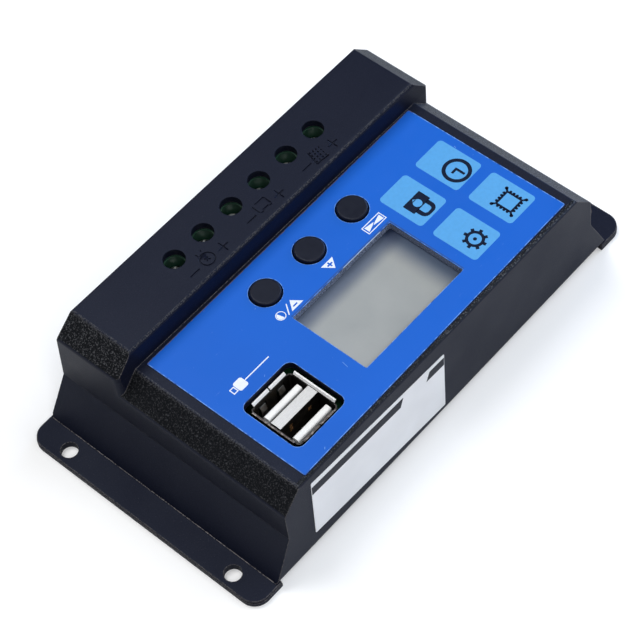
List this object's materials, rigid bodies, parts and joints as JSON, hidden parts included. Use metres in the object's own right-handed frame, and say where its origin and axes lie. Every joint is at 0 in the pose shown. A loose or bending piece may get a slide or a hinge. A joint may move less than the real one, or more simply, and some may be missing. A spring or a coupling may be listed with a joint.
{
  "type": "charge controller",
  "caption": "Wall-mounted solar charge controller: stepped case on an eared plate, display window, push buttons, double USB socket and rising-clamp screw terminals.",
  "frame": {"origin": "centre of the base plate's footprint, on the mounting face", "axes": "+X along the reading direction of the face label, +Y away from the terminal ridge, +Z out of the mounting face"},
  "size_m": [0.1334, 0.0702, 0.0345],
  "materials": {
    "case_plastic": "fine spark-eroded grain, charcoal black",
    "button_plastic": "smooth satin, charcoal black",
    "black_nylon": "matte black",
    "label_print": "printed polyester film, royal blue with pale blue tiles",
    "sticker_paper": "white film sticker",
    "lcd_face": "semi-gloss grey-green display film",
    "lcd_glass": "clear glass",
    "light_guide": "milky white acrylic",
    "circuit_board": "green solder mask on glass laminate",
    "epoxy_package": "black moulding compound",
    "sink_aluminium": "mill finish",
    "capacitor_sleeve": "shrink sleeve",
    "ferrite": "sintered ferrite",
    "shunt_alloy": "drawn resistance wire",
    "terminal_plastic": "dark green moulded polyamide",
    "tinned_metal": "bright tin plate",
    "plated_screw": "zinc plate",
    "terminal_screw": "zinc plate",
    "nickel_plate": "bright nickel plate",
    "white_nylon": "white moulded polyamide",
    "gold_contact": "thin gold plate"
  },
  "bodies": {
    "controller": {"upper_case": "case_plastic", "base_plate": "case_plastic", "case_screws": "plated_screw", "face_label": "label_print", "rating_sticker": "sticker_paper", "lcd_polariser": "lcd_face", "lcd_glass": "lcd_glass", "lcd_backlight": "light_guide", "lcd_frame": "black_nylon", "lcd_pins": "tinned_metal", "display_board": "circuit_board", "display_screws": "plated_screw", "board_header": "black_nylon", "tact_switches": "black_nylon", "main_board": "circuit_board", "board_screws": "plated_screw", "power_transistors": "epoxy_package", "heat_sink": "sink_aluminium", "heat_sink_screws": "plated_screw", "capacitors": "capacitor_sleeve", "usb_inductor": "ferrite", "current_shunts": "shunt_alloy", "microcontroller": "epoxy_package", "terminal_block_solar": "terminal_plastic", "terminal_block_battery": "terminal_plastic", "terminal_block_load": "terminal_plastic", "terminal_pins": "tinned_metal", "usb_shell": "nickel_plate", "usb_divider": "nickel_plate", "usb_insulator": "white_nylon", "usb_contacts": "gold_contact"},
    "menu_button": {"button_menu": "button_plastic", "plunger_menu": "black_nylon"},
    "up_button": {"button_up": "button_plastic", "plunger_up": "black_nylon"},
    "down_button": {"button_down": "button_plastic", "plunger_down": "black_nylon"},
    "screw_1": {"terminal_screw_1": "terminal_screw"},
    "clamp_1": {"clamp_cage_1": "tinned_metal"},
    "screw_2": {"terminal_screw_2": "terminal_screw"},
    "clamp_2": {"clamp_cage_2": "tinned_metal"},
    "screw_3": {"terminal_screw_3": "terminal_screw"},
    "clamp_3": {"clamp_cage_3": "tinned_metal"},
    "screw_4": {"terminal_screw_4": "terminal_screw"},
    "clamp_4": {"clamp_cage_4": "tinned_metal"},
    "screw_5": {"terminal_screw_5": "terminal_screw"},
    "clamp_5": {"clamp_cage_5": "tinned_metal"},
    "screw_6": {"terminal_screw_6": "terminal_screw"},
    "clamp_6": {"clamp_cage_6": "tinned_metal"}
  },
  "joints": [
    {"name": "menu_button_press", "type": "slide", "parent": "controller", "child": "menu_button", "axis": [0, 0, -1], "range_m": [0, 0.0005], "stiffness_N_per_m": 1500, "springref_m": -0.0004},
    {"name": "up_button_press", "type": "slide", "parent": "controller", "child": "up_button", "axis": [0, 0, -1], "range_m": [0, 0.0005], "stiffness_N_per_m": 1500, "springref_m": -0.0004},
    {"name": "down_button_press", "type": "slide", "parent": "controller", "child": "down_button", "axis": [0, 0, -1], "range_m": [0, 0.0005], "stiffness_N_per_m": 1500, "springref_m": -0.0004},
    {"name": "screw_1_turn", "type": "hinge", "parent": "controller", "child": "screw_1", "pos_m": [-0.02365, -0.02405, 0.0261], "axis": [0, 0, -1], "range_deg": [0, 2165]},
    {"name": "clamp_1_rise", "type": "slide", "parent": "controller", "child": "clamp_1", "axis": [0, 0, 1], "range_m": [0, 0.003]},
    {"name": "screw_2_turn", "type": "hinge", "parent": "controller", "child": "screw_2", "pos_m": [-0.01415, -0.02405, 0.0261], "axis": [0, 0, -1], "range_deg": [0, 2165]},
    {"name": "clamp_2_rise", "type": "slide", "parent": "controller", "child": "clamp_2", "axis": [0, 0, 1], "range_m": [0, 0.003]},
    {"name": "screw_3_turn", "type": "hinge", "parent": "controller", "child": "screw_3", "pos_m": [-0.00465, -0.02405, 0.0261], "axis": [0, 0, -1], "range_deg": [0, 2165]},
    {"name": "clamp_3_rise", "type": "slide", "parent": "controller", "child": "clamp_3", "axis": [0, 0, 1], "range_m": [0, 0.003]},
    {"name": "screw_4_turn", "type": "hinge", "parent": "controller", "child": "screw_4", "pos_m": [0.00485, -0.02405, 0.0261], "axis": [0, 0, -1], "range_deg": [0, 2165]},
    {"name": "clamp_4_rise", "type": "slide", "parent": "controller", "child": "clamp_4", "axis": [0, 0, 1], "range_m": [0, 0.003]},
    {"name": "screw_5_turn", "type": "hinge", "parent": "controller", "child": "screw_5", "pos_m": [0.01435, -0.02405, 0.0261], "axis": [0, 0, -1], "range_deg": [0, 2165]},
    {"name": "clamp_5_rise", "type": "slide", "parent": "controller", "child": "clamp_5", "axis": [0, 0, 1], "range_m": [0, 0.003]},
    {"name": "screw_6_turn", "type": "hinge", "parent": "controller", "child": "screw_6", "pos_m": [0.02385, -0.02405, 0.0261], "axis": [0, 0, -1], "range_deg": [0, 2165]},
    {"name": "clamp_6_rise", "type": "slide", "parent": "controller", "child": "clamp_6", "axis": [0, 0, 1], "range_m": [0, 0.003]}
  ],
  "couplings": [
    {"joint": "screw_1_turn", "follows": "clamp_1_rise", "rad_per_m": 12566},
    {"joint": "screw_2_turn", "follows": "clamp_2_rise", "rad_per_m": 12566},
    {"joint": "screw_3_turn", "follows": "clamp_3_rise", "rad_per_m": 12566},
    {"joint": "screw_4_turn", "follows": "clamp_4_rise", "rad_per_m": 12566},
    {"joint": "screw_5_turn", "follows": "clamp_5_rise", "rad_per_m": 12566},
    {"joint": "screw_6_turn", "follows": "clamp_6_rise", "rad_per_m": 12566}
  ]
}
